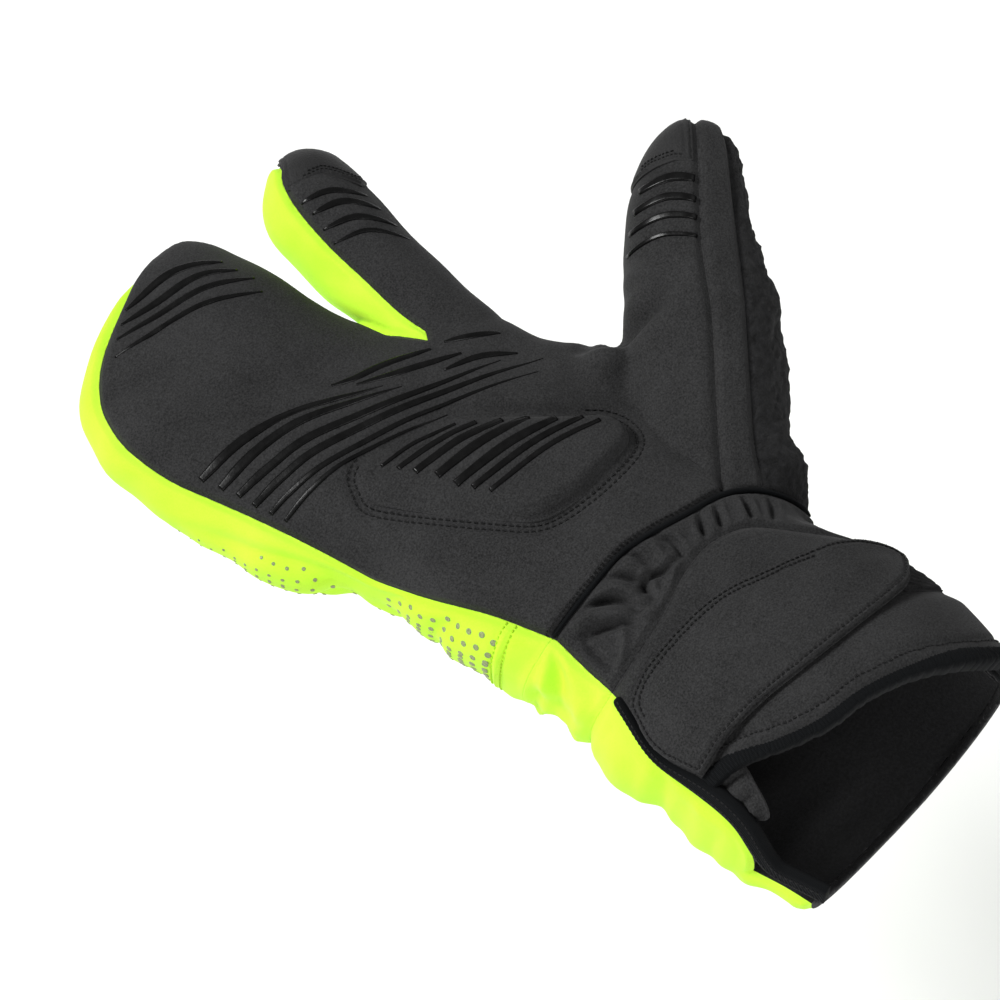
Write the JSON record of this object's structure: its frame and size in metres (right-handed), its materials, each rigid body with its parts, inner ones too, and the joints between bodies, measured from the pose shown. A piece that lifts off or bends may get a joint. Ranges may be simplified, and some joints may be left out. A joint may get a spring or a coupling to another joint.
{
  "type": "lobster claw mitt",
  "caption": "Winter cycling mitt with a wide lobe for three fingers, a separate index finger and thumb, a padded grip palm, a bright back and a cuff with a closing tab.",
  "frame": {"origin": "centre of the cuff's opening, where the wrist goes in", "axes": "+Y along the fingers from the cuff to the tip of the lobe, +Z out of the palm, +X towards the thumb"},
  "size_m": [0.2059, 0.3036, 0.0754],
  "materials": {
    "softshell": "matte brushed softshell with a fine heathered knit",
    "hi_vis_cloth": "smooth matte stretch cloth in high-visibility yellow, with rows of grey reflective dots",
    "wiping_fleece": "short bumpy fleece pile",
    "silicone_grip": "glossy printed silicone",
    "binding_tape": "ribbed elastic tape with stitches",
    "touch_patch": "close smooth cloth that works on screens",
    "loop_pile": "ribbed loop side of a touch fastener"
  },
  "bodies": {
    "root": {"palm_panel": "softshell", "thumb_side_panel": "softshell", "thumb_wiping_panel": "wiping_fleece", "back_panel": "hi_vis_cloth", "wrist_gather_palm": "softshell", "wrist_gather_back": "hi_vis_cloth", "cuff_palm": "softshell", "cuff_back": "hi_vis_cloth", "wrist_piping": "binding_tape", "closure_tab": "softshell", "loop_tape": "loop_pile", "cuff_hem_binding": "binding_tape", "cuff_edge_binding": "binding_tape", "vent_gusset": "softshell", "palm_pad": "softshell", "index_tip_patch": "touch_patch", "thumb_tip_patch": "touch_patch", "palm_grip_1": "silicone_grip", "palm_grip_2": "silicone_grip", "palm_grip_3": "silicone_grip", "palm_grip_4": "silicone_grip", "palm_grip_5": "silicone_grip", "palm_grip_6": "silicone_grip", "web_grip_1": "silicone_grip", "web_grip_2": "silicone_grip", "web_grip_3": "silicone_grip", "web_grip_4": "silicone_grip", "pad_grip_1": "silicone_grip", "pad_grip_2": "silicone_grip", "pad_grip_3": "silicone_grip", "pad_grip_4": "silicone_grip", "pad_grip_5": "silicone_grip", "pad_grip_6": "silicone_grip", "pad_grip_7": "silicone_grip", "lobe_grip_1": "silicone_grip", "lobe_grip_2": "silicone_grip", "lobe_grip_3": "silicone_grip", "lobe_grip_4": "silicone_grip", "index_grip_1": "silicone_grip", "index_grip_2": "silicone_grip", "index_grip_3": "silicone_grip", "index_grip_4": "silicone_grip", "thumb_grip_1": "silicone_grip", "thumb_grip_2": "silicone_grip", "thumb_grip_3": "silicone_grip", "thumb_grip_4": "silicone_grip"}
  },
  "joints": []
}
